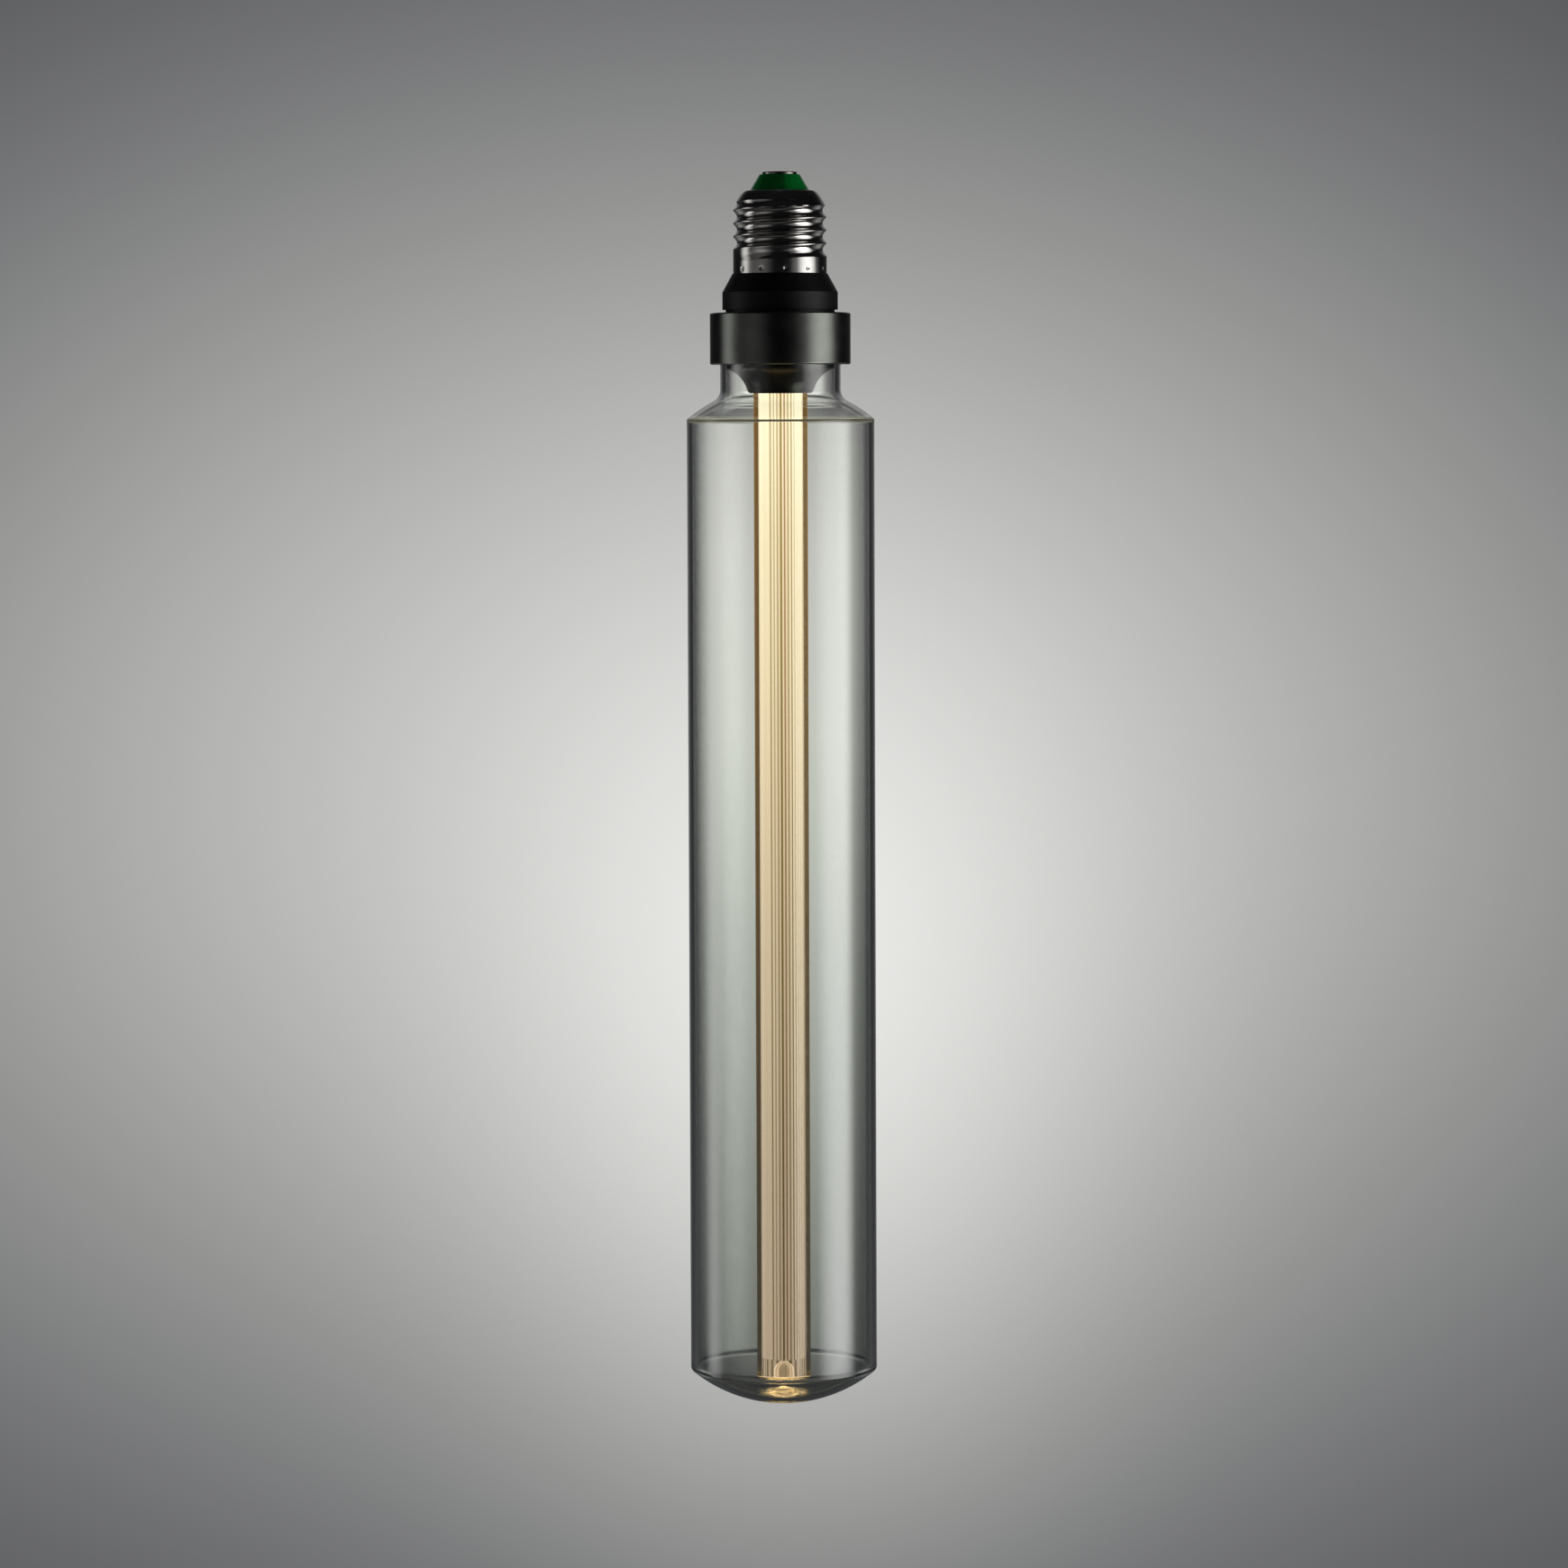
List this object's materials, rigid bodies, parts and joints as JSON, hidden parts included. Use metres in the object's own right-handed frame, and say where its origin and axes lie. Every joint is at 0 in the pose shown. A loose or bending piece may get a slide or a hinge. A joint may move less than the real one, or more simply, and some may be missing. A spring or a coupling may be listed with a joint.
{
  "type": "tubular light bulb",
  "caption": "Long tubular glass light bulb with a screw cap, a black collar and a grooved light guide that runs down its axis.",
  "frame": {"origin": "centre of the face of the centre contact, at the top of the cap, on the bulb's axis", "axes": "+Z along the bulb's axis, out of the glass and through the cap, so the bulb hangs down from its cap; -Y is the front that the picture shows; +X is to its right"},
  "size_m": [0.0524, 0.0524, 0.345],
  "materials": {
    "contact_metal": "plated and lightly brushed",
    "green_insulator": "gloss dark green",
    "dark_nickel": "polished dark nickel plate",
    "black_plastic": "matt black",
    "black_aluminium": "satin black anodised",
    "silicone": "cured adhesive",
    "clear_glass": "clear, fire polished",
    "lit_acrylic": "clear cast rod with fine grooves, lit from its upper end",
    "white_board": "white solder mask on an aluminium core",
    "phosphor": "yellow phosphor",
    "steel_screw": "zinc plate",
    "green_board": "green solder mask on glass-filled epoxy",
    "capacitor_sleeve": "aluminium can in a dark shrink sleeve",
    "brown_epoxy": "dipped epoxy",
    "ferrite": "sintered, dull",
    "yellow_tape": "polyester tape over the copper",
    "black_epoxy": "moulded",
    "resistor_body": "lacquered",
    "wire_cover": "silicone rubber"
  },
  "bodies": {
    "root": {"centre_contact": "contact_metal", "insulator": "green_insulator", "screw_shell": "dark_nickel", "neck_housing": "black_plastic", "collar": "black_aluminium", "neck_cement": "silicone", "glass_envelope": "clear_glass", "guide_holder": "black_aluminium", "light_guide": "lit_acrylic", "led_board": "white_board", "led_chips": "phosphor", "holder_screws": "steel_screw", "driver_board": "green_board", "capacitor": "capacitor_sleeve", "film_capacitor": "brown_epoxy", "transformer_core": "ferrite", "transformer_winding": "yellow_tape", "driver_chip": "black_epoxy", "bridge_rectifier": "black_epoxy", "fuse_resistor": "resistor_body", "contact_wire": "wire_cover", "shell_wire": "wire_cover", "led_wire_left": "wire_cover", "led_wire_right": "wire_cover"}
  },
  "joints": []
}
